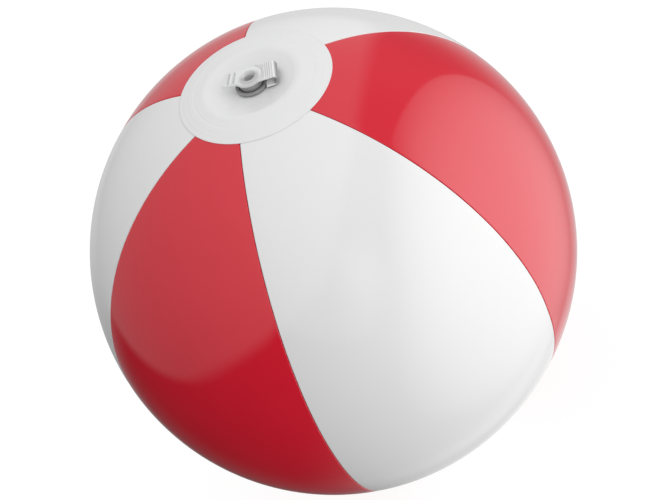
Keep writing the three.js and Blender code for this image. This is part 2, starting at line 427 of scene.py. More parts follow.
def new_mesh(name, points, faces, material):
    """A smooth-shaded closed piece, with its faces turned outward."""
    mesh = bpy.data.meshes.new(name)
    mesh.from_pydata([tuple(p) for p in points], [], faces)
    mesh.polygons.foreach_set("use_smooth", [True] * len(mesh.polygons))
    mesh.materials.append(material)
    if signed_volume(mesh) < 0:
        mesh.flip_normals()
    mesh.update()
    piece = bpy.data.objects.new(name, mesh)
    bpy.context.scene.collection.objects.link(piece)
    return piece


def grid_faces(rows, columns, wrap_rows=False, wrap_columns=False):
    """Quads of a grid of points numbered row by row."""
    faces = []
    for i in range(rows if wrap_rows else rows - 1):
        for j in range(columns if wrap_columns else columns - 1):
            i2, j2 = (i + 1) % rows, (j + 1) % columns
            faces.append((i * columns + j, i * columns + j2, i2 * columns + j2, i2 * columns + j))
    return faces


def loft(name, rings, material, wrap=False):
    """A closed skin through equal closed rings of points; the ends are capped unless it wraps."""
    rows, columns = len(rings), len(rings[0])
    faces = grid_faces(rows, columns, wrap_rows=wrap, wrap_columns=True)
    if not wrap:
        faces.append(tuple(range(columns))[::-1])
        faces.append(tuple(range((rows - 1) * columns, rows * columns)))
    return new_mesh(name, np.concatenate(rings), faces, material)


def rounded(profile, radius):
    """A closed 2-D outline with each corner turned into a small arc."""
    points = [np.array(p, float) for p in profile]
    result = []
    for i, corner in enumerate(points):
        before, after = points[i - 1] - corner, points[(i + 1) % len(points)] - corner
        back, on = np.linalg.norm(before), np.linalg.norm(after)
        reach = min(radius, CORNER_SHARE * back, CORNER_SHARE * on)
        start, end = corner + before / back * reach, corner + after / on * reach
        for t in np.linspace(0, 1, CORNER_STEPS):
            result.append((1 - t) ** 2 * start + 2 * t * (1 - t) * corner + t * t * end)
    return result


def densified(outline, spacing):
    """The same closed outline with extra points along its long straight runs."""
    result = []
    for here, there in zip(outline, outline[1:] + outline[:1]):
        steps = max(1, round(float(np.linalg.norm(there - here)) / spacing))
        result += [here + (there - here) * k / steps for k in range(steps)]
    return result


def turned(name, outline, material):
    """A ring turned about Z from a closed outline of (radius, z) points, anticlockwise."""
    rings = []
    for k in range(TURN_SEGMENTS):
        angle = 2 * math.pi * k / TURN_SEGMENTS
        rings.append(np.array([[r * math.cos(angle), r * math.sin(angle), z] for r, z in outline]))
    return loft(name, rings, material, wrap=True)


def film_skin(name, outer, inner, material, wrap=False):
    """A closed thin skin between two grids of points (rows x columns x 3)."""
    rows, columns = outer.shape[:2]
    points = np.concatenate([outer.reshape(-1, 3), inner.reshape(-1, 3)])
    below = rows * columns
    faces = grid_faces(rows, columns, wrap_columns=wrap)
    faces += [tuple(v + below for v in face[::-1]) for face in faces]
    first, last = list(range(columns)), list(range((rows - 1) * columns, rows * columns))
    if wrap:
        edges = [(first + first[:1], True), (last + last[:1], False)]
    else:
        left = list(range(0, rows * columns, columns))
        right = list(range(columns - 1, rows * columns, columns))
        edges = [(first, True), (last, False), (left, False), (right, True)]
    for line, flip in edges:
        for a, b in zip(line, line[1:]):
            strip = (a, b, b + below, a + below)
            faces.append(strip[::-1] if flip else strip)
    return new_mesh(name, points, faces, material)


# ---------------------------------------------------------------- materials
def shader(name, colour, roughness):
    """A PVC material, its tree and its principled shader."""
    material = bpy.data.materials.new(name)
    material.use_nodes = True
    nodes = material.node_tree.nodes
    principled = nodes["Principled BSDF"]
    principled.inputs["Base Color"].default_value = (*colour, 1)
    principled.inputs["Roughness"].default_value = roughness
    principled.inputs["IOR"].default_value = PVC_IOR
    return material, material.node_tree, principled


def noise(tree, scale, detail, roughness=0.5):
    """Noise over the object's own metres; scale is in features per metre."""
    place = tree.nodes.new("ShaderNodeTexCoord")
    texture = tree.nodes.new("ShaderNodeTexNoise")
    texture.inputs["Scale"].default_value = scale
    texture.inputs["Detail"].default_value = detail
    texture.inputs["Roughness"].default_value = roughness
    tree.links.new(place.outputs["Object"], texture.inputs["Vector"])
    return texture.outputs["Fac"]


def spread(tree, value, low, high):
    """Noise stretched to run between two numbers."""
    return ranged(tree, value, *NOISE_RANGE, low, high)


def ranged(tree, value, low, high, low_result, high_result):
    """Value carried from one range to another, clamped at the ends."""
    node = tree.nodes.new("ShaderNodeMapRange")
    node.inputs["From Min"].default_value = low
    node.inputs["From Max"].default_value = high
    node.inputs["To Min"].default_value = low_result
    node.inputs["To Max"].default_value = high_result
    tree.links.new(value, node.inputs["Value"])
    return node.outputs["Result"]


def tint(tree, value, colour_a, colour_b):
    """Mix of two colours, each given as three numbers or as a socket."""
    mix = tree.nodes.new("ShaderNodeMix")
    mix.data_type = "RGBA"
    for name, colour in (("A", colour_a), ("B", colour_b)):
        if isinstance(colour, tuple):
            mix.inputs[name].default_value = (*colour, 1)
        else:
            tree.links.new(colour, mix.inputs[name])
    tree.links.new(value, mix.inputs["Factor"])
    return mix.outputs["Result"]


def painted_see_through_mask(tree):
    """Mask of the painted see-through shade: one where the grey stem would show through the head,
    falling to zero towards the head's edge.
    """
    place = tree.nodes.new("ShaderNodeTexCoord")
    offset = tree.nodes.new("ShaderNodeVectorMath")
    offset.operation = "MULTIPLY_ADD"
    offset.inputs[1].default_value = (1, 1, 0)
    offset.inputs[2].default_value = PAINTED_SEE_THROUGH_OFFSET
    tree.links.new(place.outputs["Object"], offset.inputs[0])
    length = tree.nodes.new("ShaderNodeVectorMath")
    length.operation = "LENGTH"
    tree.links.new(offset.outputs["Vector"], length.inputs[0])
    return ranged(tree, length.outputs["Value"], PAINTED_SEE_THROUGH_RADIUS + PAINTED_SEE_THROUGH_FADE, PAINTED_SEE_THROUGH_RADIUS, 0, 1)


def bump(tree, principled, layers):
    """Stacks bumps of given height, in metres, on the shader's normal."""
    normal = None
    for height, distance in layers:
        node = tree.nodes.new("ShaderNodeBump")
        node.inputs["Strength"].default_value = 1
        node.inputs["Distance"].default_value = distance
        tree.links.new(height, node.inputs["Height"])
        if normal is not None:
            tree.links.new(normal, node.inputs["Normal"])
        normal = node.outputs["Normal"]
    tree.links.new(normal, principled.inputs["Normal"])


def film_material(name, colour, deeper, roughness):
    """Glossy calendered film: faint cloudiness, slow swells and a fine orange-peel."""
    material, tree, principled = shader(name, colour, roughness)
    cloud = noise(tree, *FILM_CLOUD)
    tree.links.new(tint(tree, cloud, colour, deeper), principled.inputs["Base Color"])
    scuff = noise(tree, *FILM_SCUFF)
    tree.links.new(
        spread(tree, scuff, roughness, roughness * SCUFFED), principled.inputs["Roughness"])
    bump(tree, principled, [
        (noise(tree, *FILM_SWELL), FILM_SWELL_HEIGHT),
        (noise(tree, *FILM_PEEL), FILM_PEEL_HEIGHT),
    ])
    return material


def patch_material():
    """Milky film, slightly clouded, with slow swells."""
    material, tree, principled = shader("milky_film", PATCH_COLOUR, PATCH_ROUGHNESS)
    cloud = noise(tree, *PATCH_CLOUD)
    tree.links.new(tint(tree, cloud, PATCH_COLOUR, PATCH_SHADE), principled.inputs["Base Color"])
    bump(tree, principled, [(noise(tree, *PATCH_SWELL), PATCH_SWELL_HEIGHT)])
    return material


def moulding_material(name, colour, shade, transmission, crevice_shade, see_through=None):
    """Soft PVC moulding: milky, with painted shade from ambient occlusion in its crevices and where its
    painted-shade attribute says so, with flow marks and fine scuffs. Where given, painted see-through
    shade of the grey stem lies near the valve's axis."""
    material, tree, principled = shader(name, colour, MOULDING_ROUGHNESS)
    principled.inputs["Transmission Weight"].default_value = transmission
    toned = tint(tree, noise(tree, *MOULDING_CLOUD), colour, shade)
    # Painted see-through shade of the grey stem near the axis.
    if see_through is not None:
        toned = tint(tree, painted_see_through_mask(tree), toned, see_through)
    # Painted shade and painted dark reflection, from the points' painted-shade attribute.
    edge = tree.nodes.new("ShaderNodeAttribute")
    edge.attribute_name = PAINTED_SHADE_ATTRIBUTE
    toned = tint(tree, edge.outputs["Fac"], toned, tuple(level * PAINTED_SHADE_LEVEL for level in colour))
    # Painted shade in crevices, from ambient occlusion.
    open_air = tree.nodes.new("ShaderNodeAmbientOcclusion")
    open_air.inputs["Distance"].default_value = CREVICE_SHADE_REACH
    hidden = ranged(tree, open_air.outputs["AO"], *CREVICE_SHADE_RANGE, 0, 1)
    toned = tint(tree, hidden, toned, tuple(level * crevice_shade for level in colour))
    tree.links.new(toned, principled.inputs["Base Color"])
    scuff = noise(tree, *MOULDING_SCUFF)
    tree.links.new(
        spread(tree, scuff, *MOULDING_ROUGHNESS_RANGE), principled.inputs["Roughness"])
    bump(tree, principled, [(noise(tree, *MOULDING_FLOW), MOULDING_FLOW_HEIGHT)])
    return material


red_film = film_material("red_film", RED, RED_DEEP, RED_ROUGHNESS)
white_film = film_material("white_film", WHITE, WHITE_DEEP, WHITE_ROUGHNESS)
milky_film = patch_material()
clear_moulding = moulding_material(
    "clear_moulding", CLEAR_COLOUR, CLEAR_SHADE, CLEAR_TRANSMISSION, OPEN_SHADE, PAINTED_SEE_THROUGH_COLOUR)
# Strap: its own milky white with a painted highlight, brighter than the plug.
strap_moulding = moulding_material(
    "strap_moulding", STRAP_COLOUR_AND_HIGHLIGHT, STRAP_SHADE, STRAP_TRANSMISSION, PAINTED_SHADE_LEVEL)
# Stem and ring: clear PVC with painted shade, grey all over.
shade_painted_moulding = moulding_material(
    "shade_painted_moulding", STEM_PAINTED_SHADE_COLOUR, STEM_SHADE, STEM_TRANSMISSION, PAINTED_SHADE_LEVEL)


# ---------------------------------------------------------------- gore skins
seam_frame = tilt_matrix(SEAM_POLE_TILT, SEAM_POLE_AZIMUTH)
seam_pole = seam_frame @ np.array([0, 0, 1.0])
patch_axis = direction(PATCH_AZIMUTH, PATCH_TILT)
valve_axis = np.array([0, 0, 1.0])
HOLE_COSINE = math.sqrt(1 - (GORE_HOLE / BALL_RADIUS) ** 2)


def gore_section():
    """Half of a gore's cross-section at a weld: (distance from the weld plane, depth) pairs
    down the fin and round the roll, for the outer and the inner face."""
    gap = WELD_GAP / 2
    outer = [(gap, WELD_FIN), (gap, 0.5 * WELD_FIN), (gap, 2 * WELD_ROLL)]
    inner = [(gap + FILM, depth) for _, depth in outer]
    for angle in np.linspace(0, math.pi / 2, ROLL_STEPS):
        for line, radius in ((outer, WELD_ROLL), (inner, WELD_ROLL - FILM)):
            distance = gap + WELD_ROLL - radius * math.cos(angle)
            line.append((distance, WELD_ROLL - radius * math.sin(angle)))
    return outer, inner


def weld_valley(distance):
    """How much the skin is drawn in towards a weld that lies at this distance."""
    return VALLEY_DEPTH * np.exp(-distance / VALLEY_REACH)


def wander(weld, angles):
    """Sideways drift of one weld down its length: a smooth curve that dies out past the equator."""
    curve = np.polyfit(np.radians(WANDER_ANGLES), WELD_WANDER[weld % len(WELD_WANDER)], 2)
    fade = 1 - smoothstep(*np.radians(WANDER_FADE), angles)
    return np.polyval(curve, np.minimum(angles, math.radians(WANDER_LAST))) * fade


def gore_column(azimuth, offset, depth, drift):
    """Points down one column, at an azimuth, a sideways offset and a depth; drift gives how far
    the column wanders at each angle from the seam pole."""
    plain = seam_frame @ direction(azimuth, 90)
    top = crossing_angles(seam_pole, plain, patch_axis, HOLE_COSINE)[1]
    bottom = crossing_angles(seam_pole, plain, valve_axis, -HOLE_COSINE)[1]
    angles = np.linspace(top, bottom, GORE_ROWS)
    radius = BALL_RADIUS - depth
    swing = np.arcsin(np.clip((offset + drift(angles)) / (radius * np.sin(angles)), -1, 1))
    turn = math.radians(azimuth) + swing
    local = np.stack([np.sin(angles) * np.cos(turn), np.sin(angles) * np.sin(turn), np.cos(angles)], 1)
    return radius * local @ seam_frame.T


def gore(name, weld, start, end, material):
    """Skin of one gore between two weld azimuths, with its fins turned inward at both."""
    def drift(share):
        return lambda angles: (1 - share) * wander(weld, angles) + share * wander(weld + 1, angles)

    outer_edge, inner_edge = gore_section()
    columns = {"outer": [], "inner": []}
    for face, edge, film in (("outer", outer_edge, 0), ("inner", inner_edge, FILM)):
        offset = edge[-1][0]
        for distance, depth in edge:
            columns[face].append(gore_column(start, distance, depth + weld_valley(distance), drift(0)))
        for share in np.linspace(0, 1, GORE_COLUMNS + 2)[1:-1]:
            eased = share - GORE_CROWDING * math.sin(2 * math.pi * share)
            azimuth = start + (end - start) * eased
            across = math.radians(min(azimuth - start, end - azimuth)) * BALL_RADIUS
            margin = offset * (1 - 2 * eased)
            columns[face].append(gore_column(azimuth, margin, film + weld_valley(across), drift(eased)))
        for distance, depth in edge[::-1]:
            columns[face].append(gore_column(end, -distance, depth + weld_valley(distance), drift(1)))
    return film_skin(name, np.stack(columns["outer"], 1), np.stack(columns["inner"], 1), material)


for index, node in enumerate(GORES):
    following = WELD_AZIMUTHS[index + 1] if index + 1 < len(GORES) else WELD_AZIMUTHS[0] + 360
    white = "white" in node
    film = white_film if white else red_film
    skin = gore(f"{node}_film", index, WELD_AZIMUTHS[index], following, film)
    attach(skin, "ball")
    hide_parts(node)


# ---------------------------------------------------------------- patch skins
PATCH_OUTER = BALL_RADIUS + PATCH_LIFT + PATCH_FILM
RIM_ANGLE = math.asin(PATCH_RADIUS / BALL_RADIUS)
BASE_LEVEL = math.sqrt(PATCH_OUTER ** 2 - BASE_FLAT ** 2)


def bead(distance, centre, width, height):
    """Smooth bump of a given half-width and height about a centre."""
    return height * np.exp(-(((distance - centre) / width) ** 2))


def weld_band(rim_distance):
    """Relief of the embossed band: a bead at the rim, ribs, and the step off the gore ends."""
    relief = sum(bead(rim_distance, *place) for place in RIM_BEADS)
    gore_end = PATCH_RADIUS - GORE_HOLE
    step = smoothstep(gore_end + GORE_STEP_RUN[0], gore_end + GORE_STEP_RUN[1], rim_distance)
    return relief - GORE_STEP * step


def dished(radius):
    """Height of the patch over the valve's foot: flat floor, then a cone up to the ball's curve."""
    climb = FLOOR_SOFTNESS * np.log1p(np.exp((radius - FLOOR_RADIUS) / FLOOR_SOFTNESS))
    ball = np.sqrt(PATCH_OUTER ** 2 - radius ** 2)
    rise = (math.sqrt(PATCH_OUTER ** 2 - DISH_RADIUS ** 2) - FLOOR_Z) / (DISH_RADIUS - FLOOR_RADIUS)
    cone = FLOOR_Z + rise * climb
    share = np.clip(0.5 + 0.5 * (ball - cone) / DISH_EDGE_SOFTNESS, 0, 1)
    return ball + (cone - ball) * share - DISH_EDGE_SOFTNESS * share * (1 - share)


def band_rows(hole, rim):
    """Radii of the patch's rows: even from the hole to the embossed band, then close and
    parallel to the rim."""
    inner = np.linspace(hole, rim - BAND_WIDTH, PATCH_ROWS // 2, endpoint=False)
    return np.concatenate([inner, np.linspace(rim - BAND_WIDTH, rim, PATCH_ROWS - PATCH_ROWS // 2)])


def valve_patch_face(thickness):
    """Grid of points of the valve patch's outer face, or of its inner face a thickness below."""
    hole = STEM_RADIUS + PATCH_HOLE_GAP
    grid = np.zeros((PATCH_ROWS, PATCH_COLUMNS, 3))
    for column in range(PATCH_COLUMNS):
        angle = 2 * math.pi * column / PATCH_COLUMNS
        side = np.array([math.cos(angle), math.sin(angle), 0])
        rim = crossing_angles(valve_axis, side, patch_axis, math.cos(RIM_ANGLE))[1]
        radius = band_rows(hole, PATCH_OUTER * math.sin(rim))
        points = np.outer(radius, side)
        points[:, 2] = dished(radius) + bead(radius, *CREST)
        length = np.linalg.norm(points, axis=1)
        away = np.arccos(np.clip(points @ patch_axis / length, -1, 1))
        relief = weld_band((RIM_ANGLE - away) * BALL_RADIUS) - thickness
        grid[:, column] = points * (1 + relief / length)[:, None]
    return grid


def base_patch_face(thickness):
    """Grid of points of the base patch's outer face, or of its inner face a thickness above."""
    radius = band_rows(BASE_HOLE, PATCH_OUTER * math.sin(RIM_ANGLE))
    angle = np.linspace(0, 2 * math.pi, PATCH_COLUMNS, endpoint=False)
    ball = np.sqrt(PATCH_OUTER ** 2 - radius ** 2)
    flattened = BASE_FLAT_SOFTNESS * np.logaddexp(0, (BASE_LEVEL - ball) / BASE_FLAT_SOFTNESS)
    relief = weld_band((RIM_ANGLE - np.arcsin(radius / PATCH_OUTER)) * BALL_RADIUS)
    outward = radius * (1 + relief / BALL_RADIUS)
    depth = BASE_LEVEL - flattened - thickness + relief * ball / BALL_RADIUS
    grid = np.zeros((PATCH_ROWS, PATCH_COLUMNS, 3))
    grid[..., 0] = np.outer(outward, np.cos(angle))
    grid[..., 1] = np.outer(outward, np.sin(angle))
    grid[..., 2] = -depth[:, None]
    return grid


valve_patch = film_skin(
    "valve_patch_film", valve_patch_face(0), valve_patch_face(PATCH_FILM), milky_film, wrap=True)
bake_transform(valve_patch)
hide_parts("valve_patch")
from_axis = np.linalg.norm(mesh_points(valve_patch.data)[:, :2], axis=1)
1 - smoothstep(FLANGE_RADIUS, DISH_RADIUS, from_axis)

base_patch = film_skin(
    "base_patch_film", base_patch_face(0), base_patch_face(PATCH_FILM), milky_film, wrap=True)
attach(base_patch, "ball")
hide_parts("base_patch")


# ---------------------------------------------------------------- valve stem and its flange
stem_outline = rounded([
    (BORE_RADIUS, STEM_LOW.z),
    (INNER_TUBE_RADIUS, STEM_LOW.z),
    (INNER_TUBE_RADIUS, FLANGE_TOP - FLANGE_THICKNESS),
    (FLANGE_RADIUS, FLANGE_TOP - FLANGE_THICKNESS),
    (FLANGE_RADIUS, FLANGE_TOP),
    (STEM_RADIUS, FLANGE_TOP),
    (STEM_RADIUS, STEM_TOP),
    (BORE_RADIUS, STEM_TOP),
], STEM_EDGE)
stem = turned("valve_stem_moulding", stem_outline, shade_painted_moulding)
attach(stem, "valve")
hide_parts("valve_stem")


# ---------------------------------------------------------------- tether: ring and doubled-back strap
RING_HIGH = TETHER_LOW.z + RING_HEIGHT
ring_outline = rounded([
    (STEM_RADIUS + RING_CLEARANCE, TETHER_LOW.z),
    (TETHER_RING_RADIUS, TETHER_LOW.z),
    (TETHER_RING_RADIUS, RING_HIGH),
    (STEM_RADIUS + RING_CLEARANCE, RING_HIGH),
], RING_EDGE)
tether_ring = turned("tether_ring", ring_outline, shade_painted_moulding)
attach(tether_ring, "valve")


def strap_path():
    """Points (reach, height), unit normals and bend share along the strap's middle line: out
    from the ring, round the bend and back to the plug's head."""
    low = RING_HIGH - TETHER_THICKNESS / 2
    high = HEAD_TOP - TETHER_THICKNESS / 2
    radius, middle = (high - low) / 2, (high + low) / 2
    path = []
    start, end = TETHER_RING_RADIUS - STRAP_OVERLAP, HEAD_RADIUS + STRAP_END_RUN
    for reach in np.linspace(start, TETHER_BEND_REACH, STRAP_STEPS_OUT)[:-1]:
        path.append((reach, low, 0, -1, 0))
    for angle in np.linspace(-math.pi / 2, math.pi / 2, STRAP_STEPS_BEND):
        outward, upward = math.cos(angle), math.sin(angle)
        place = TETHER_BEND_REACH + radius * outward, middle + radius * upward
        path.append((*place, outward, upward, 0.5 + angle / math.pi))
    returning = np.linspace(TETHER_BEND_REACH, end, STRAP_STEPS_BACK)[1:]
    for reach in (*returning, HEAD_RADIUS + STRAP_LAST_RUN):
        path.append((reach, high, 0, 1, 1))
    return path


def strap_ribs(reach, share):
    """One on the crest of each cross rib, zero between them, and the middle of the two round
    the bend."""
    if share < STRAP_BEND_END:
        return STRAP_RIB_MIDDLE
    places = TETHER_BEND_REACH - np.arange(STRAP_RIBS) * STRAP_RIB_SPACING
    return float(np.exp(-((reach - places) / STRAP_RIB_WIDTH) ** 2).sum())


def strap_painted_shade(reach, share, out):
    """Painted shade on the clear strap: inside its loop and between its ribs, and a painted dark
    reflection round its bend.
    """
    if out < 0:
        return LOOP_PAINTED_SHADE * smoothstep(*LOOP_PAINTED_SHADE_FOOT, share) * smoothstep(1, STRAP_BEND_END, share)
    if share < STRAP_BEND_END:
        return smoothstep(*BEND_PAINTED_DARK_TOP, share) * smoothstep(*BEND_PAINTED_DARK_FOOT, share)
    ribbed = smoothstep(*RIB_PAINTED_SHADE_END, TETHER_BEND_REACH - reach)
    return RIB_PAINTED_SHADE * ribbed * (1 - min(strap_ribs(reach, share), 1))


def set_painted_shade(piece, values):
    """Writes the painted shade of each point, for the moulding materials."""
    painted_shade = piece.data.attributes.new(PAINTED_SHADE_ATTRIBUTE, "FLOAT", "POINT")
    painted_shade.data.foreach_set("value", np.array(values, dtype=np.float32))


def tether_strap():
    """The strap, with the blend share of each of its points."""
    half, thick = TETHER_WIDTH / 2, TETHER_THICKNESS / 2
    corners = [(-half, -thick), (half, -thick), (half, thick), (-half, thick)]
    section = densified(rounded(corners, STRAP_EDGE), STRAP_POINT_SPACING)
    path = strap_path()
    rings, shares, edges = [], [], []
    for index, (reach, height, outward, upward, share) in enumerate(path):
        ring = []
        for across, out in section:
            raised = out
            if out > 0.5 * thick and abs(across) < STRAP_RIB_SIDE * half:
                raised += STRAP_RIB_HEIGHT * (strap_ribs(reach, share) - STRAP_RIB_MIDDLE)
            place = reach + outward * raised
            if index >= len(path) - 2:
                place = math.sqrt((HEAD_RADIUS + STRAP_CLEARANCE) ** 2 - across ** 2)
                place += STRAP_END_STEP * (len(path) - 1 - index)
            ring.append((place, across, height + upward * raised))
        rings.append(np.array(ring) @ turn_about_z(TETHER_AZIMUTH).T)
        shares += [share] * len(section)
        # Painted shade and painted dark reflection of each point, listed in edges.
        edges += [float(strap_painted_shade(reach, share, out)) for across, out in section]
    piece = loft("tether_strap", rings, strap_moulding)
    set_painted_shade(piece, edges)
    return piece, np.array(shares)


strap, strap_share = tether_strap()
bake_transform(strap)
smoothstep(0, 1, strap_share)
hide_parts("tether")


# ---------------------------------------------------------------- plug and check flap
def tongue_outline(angles, disc, azimuth, half_width, reach, soft):
    """Radius of a disc with a rounded tongue, at each angle."""
    away = angles - math.radians(azimuth)
    side = half_width / np.maximum(np.abs(np.sin(away)), TINY)
    end = reach / np.maximum(np.cos(away), TINY)
    side, end = np.minimum(side, TONGUE_FARTHEST * reach), np.minimum(end, TONGUE_FARTHEST * reach)
    tongue = -soft * np.logaddexp(-side / soft, -end / soft)
    tongue = np.where(np.cos(away) > 0, tongue, 0)
    return soft * 0.5 * np.logaddexp(disc / soft * 2, tongue / soft * 2)


def tongue_angles(azimuth):
    """Angles round a full turn, close together near the tongue."""
    near = np.linspace(-TONGUE_SPAN, TONGUE_SPAN, TONGUE_STEPS)
    far = np.linspace(TONGUE_SPAN, 360 - TONGUE_SPAN, DISC_STEPS)[1:-1]
    return np.radians(np.concatenate([near, far]) + azimuth)


def polar_solid(name, angles, rings, low, high, material):
    """A solid made of rings round Z, closed by a point on the axis at each end."""
    points = []
    for radius, height in rings:
        radius = np.broadcast_to(radius, angles.shape)
        height = np.broadcast_to(height, angles.shape)
        points += list(zip(radius * np.cos(angles), radius * np.sin(angles), height))
    faces = grid_faces(len(rings), len(angles), wrap_columns=True)
    first, last = len(points), len(points) + 1
    points += [(0, 0, low), (0, 0, high)]
    top = (len(rings) - 1) * len(angles)
    for j in range(len(angles)):
        k = (j + 1) % len(angles)
        faces.append((first, k, j))
        faces.append((last, top + j, top + k))
    return new_mesh(name, points, faces, material)


def quarter_turn(steps):
    """Sines and cosines from zero to a right angle."""
    angles = np.linspace(0, math.pi / 2, steps)
    return list(zip(np.sin(angles), np.cos(angles)))


def plug():
    """The plug in one skin: tip, shank, underside, edge, top with tab and recess, recess floor."""
    angles = tongue_angles(TAB_AZIMUTH)
    outline = tongue_outline(angles, HEAD_RADIUS, TAB_AZIMUTH, TAB_WIDTH / 2, TAB_REACH, TAB_BLEND)
    rim = outline - HEAD_EDGE
    away = angles - math.radians(TAB_AZIMUTH)
    under = HEAD_TOP - HEAD_THICKNESS
    tip = PLUG_LOW.z
    rings = [(SHANK_RADIUS + radius, tip + height) for radius, height in SHANK_PROFILE]
    for sine, cosine in quarter_turn(EDGE_STEPS):
        rings.append((SHANK_RADIUS + SHANK_FILLET * (1 - cosine), under - SHANK_FILLET * (1 - sine)))
    root = SHANK_RADIUS + SHANK_FILLET
    for share in np.linspace(0, 1, UNDERSIDE_STEPS)[1:]:
        radius = root + (rim - root) * share
        rings.append((radius, under + HEAD_UNDERCUT * smoothstep(*UNDERCUT_RUN, radius)))
    low = under + HEAD_UNDERCUT * smoothstep(*UNDERCUT_RUN, rim)
    for sine, cosine in quarter_turn(EDGE_STEPS)[1:]:
        rings.append((rim + HEAD_EDGE * sine, low + HEAD_EDGE * (1 - cosine)))
    for sine, cosine in quarter_turn(EDGE_STEPS):
        rings.append((rim + HEAD_EDGE * cosine, HEAD_TOP - HEAD_EDGE * (1 - sine)))
    mouth = RECESS_MOUTH + RECESS_LIP
    for share in np.linspace(0, 1, TOP_STEPS)[1:]:
        radius = rim + (mouth - rim) * share
        reach, across = radius * np.cos(away), radius * np.sin(away)
        relief = sum(bead(reach, *grip) for grip in TAB_GRIPS)
        relief = relief * (1 - smoothstep(*GRIP_SIDES, np.abs(across)))
        rings.append((radius, HEAD_TOP + relief))
    rings += [(RECESS_MOUTH + radius, HEAD_TOP - depth) for radius, depth in RECESS_PROFILE]
    piece = polar_solid(
        "plug_moulding", angles, rings, tip, HEAD_TOP - RECESS_DEPTH, clear_moulding)
    # Painted shade in the tab's grooves, written on the plug's points.
    reach, across, height = (mesh_points(piece.data) @ turn_about_z(TAB_AZIMUTH)).T
    painted_shade = sum(bead(reach, place, GROOVE_PAINTED_SHADE_WIDTH, GROOVE_PAINTED_SHADE)
               for place, _, relief in TAB_GRIPS if relief < 0)
    on_top = (np.abs(across) < GROOVE_PAINTED_SHADE_SIDE) & (height > HEAD_TOP - GROOVE_PAINTED_SHADE_DEPTH)
    set_painted_shade(piece, painted_shade * on_top)
    return piece


def check_flap():
    """The non-return flap: a disc with a hinge tongue and a gate mark under its centre."""
    low, high = FLAP_LOW.z, FLAP_HIGH.z
    angles = tongue_angles(FLAP_HINGE_AZIMUTH)
    outline = tongue_outline(
        angles, FLAP_RADIUS, FLAP_HINGE_AZIMUTH, FLAP_TONGUE_HALF, FLAP_HIGH.y, FLAP_BLEND)
    rim = outline - FLAP_EDGE
    rings = []
    for share in np.linspace(0, 1, FLAP_STEPS)[1:]:
        raised = FLAP_GATE * smoothstep(FLAP_GATE_RADIUS, 0, share * outline)
        rings.append((share * rim, low + raised))
    for sine, cosine in quarter_turn(FLAP_EDGE_STEPS)[1:]:
        rings.append((rim + FLAP_EDGE * sine, low + FLAP_EDGE * (1 - cosine)))
    for sine, cosine in quarter_turn(FLAP_EDGE_STEPS):
        rings.append((rim + FLAP_EDGE * cosine, high - FLAP_EDGE * (1 - sine)))
    rings += [(share * rim, high) for share in np.linspace(1, 0, FLAP_STEPS)[1:-1]]
    return polar_solid("check_flap_moulding", angles, rings, low, high, clear_moulding)


stopper = plug()
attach(stopper, "plug")
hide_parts("plug")

flap = check_flap()
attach(flap, "flap")
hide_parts("check_flap")


# ---------------------------------------------------------------- camera at the photo's angle
elevation, roll = math.radians(CAMERA_ELEVATION), math.radians(CAMERA_ROLL)
back = Vector((0, -math.cos(elevation), math.sin(elevation)))
level_up = Vector((0, math.sin(elevation), math.cos(elevation)))
level_right = Vector((1, 0, 0))
right = math.cos(roll) * level_right - math.sin(roll) * level_up
up = math.sin(roll) * level_right + math.cos(roll) * level_up
camera = bpy.data.objects.new("camera", bpy.data.cameras.new("camera"))
camera.data.lens = CAMERA_LENS
camera.data.sensor_width = SENSOR_WIDTH
camera.data.shift_y = CAMERA_SHIFT
camera.data.clip_start = CLIP_START
axes = Matrix((right, up, back)).transposed().to_4x4()
camera.matrix_world = Matrix.Translation(back * CAMERA_DISTANCE) @ axes
bpy.context.scene.collection.objects.link(camera)
bpy.context.scene.camera = camera


# ---------------------------------------------------------------- studio surround and floor
class Light:
    """Small expression writer for the studio surround, as a function of direction."""

    def __init__(self, tree, socket):
        self.tree, self.socket = tree, socket

    def combine(self, operation, *others):
        node = self.tree.nodes.new("ShaderNodeMath")
        node.operation = operation
        for slot, value in enumerate((self, *others)):
            if isinstance(value, Light):
                self.tree.links.new(value.socket, node.inputs[slot])
            else:
                node.inputs[slot].default_value = value
        return Light(self.tree, node.outputs[0])

    def __add__(self, other):
        return self.combine("ADD", other)

    def __sub__(self, other):
        return self.combine("SUBTRACT", other)

    def __mul__(self, other):
        return self.combine("MULTIPLY", other)

    def over(self, other):
        return self.combine("DIVIDE", other)

    def at_least(self, other):
        return self.combine("MAXIMUM", other)

    def exp(self):
        return self.combine("EXPONENT")

    def inverted(self):
        return self * -1 + 1

    def step(self, low, high):
        """Zero at low, one at high and smooth between; low may be the larger."""
        node = self.tree.nodes.new("ShaderNodeMapRange")
        node.interpolation_type = "SMOOTHSTEP"
        node.inputs["From Min"].default_value = low
        node.inputs["From Max"].default_value = high
        self.tree.links.new(self.socket, node.inputs["Value"])
        return Light(self.tree, node.outputs["Result"])

    def towards(self, other, share):
        return self + (other - self) * share


def along(tree, socket, axis):
    """Part of a direction that lies along an axis."""
    node = tree.nodes.new("ShaderNodeVectorMath")
    node.operation = "DOT_PRODUCT"
    node.inputs[1].default_value = axis
    tree.links.new(socket, node.inputs[0])
    return Light(tree, node.outputs["Value"])


def dot(x, y, z, axis):
    """Weighted sum of the three parts of a direction."""
    return x * axis[0] + y * axis[1] + z * axis[2]


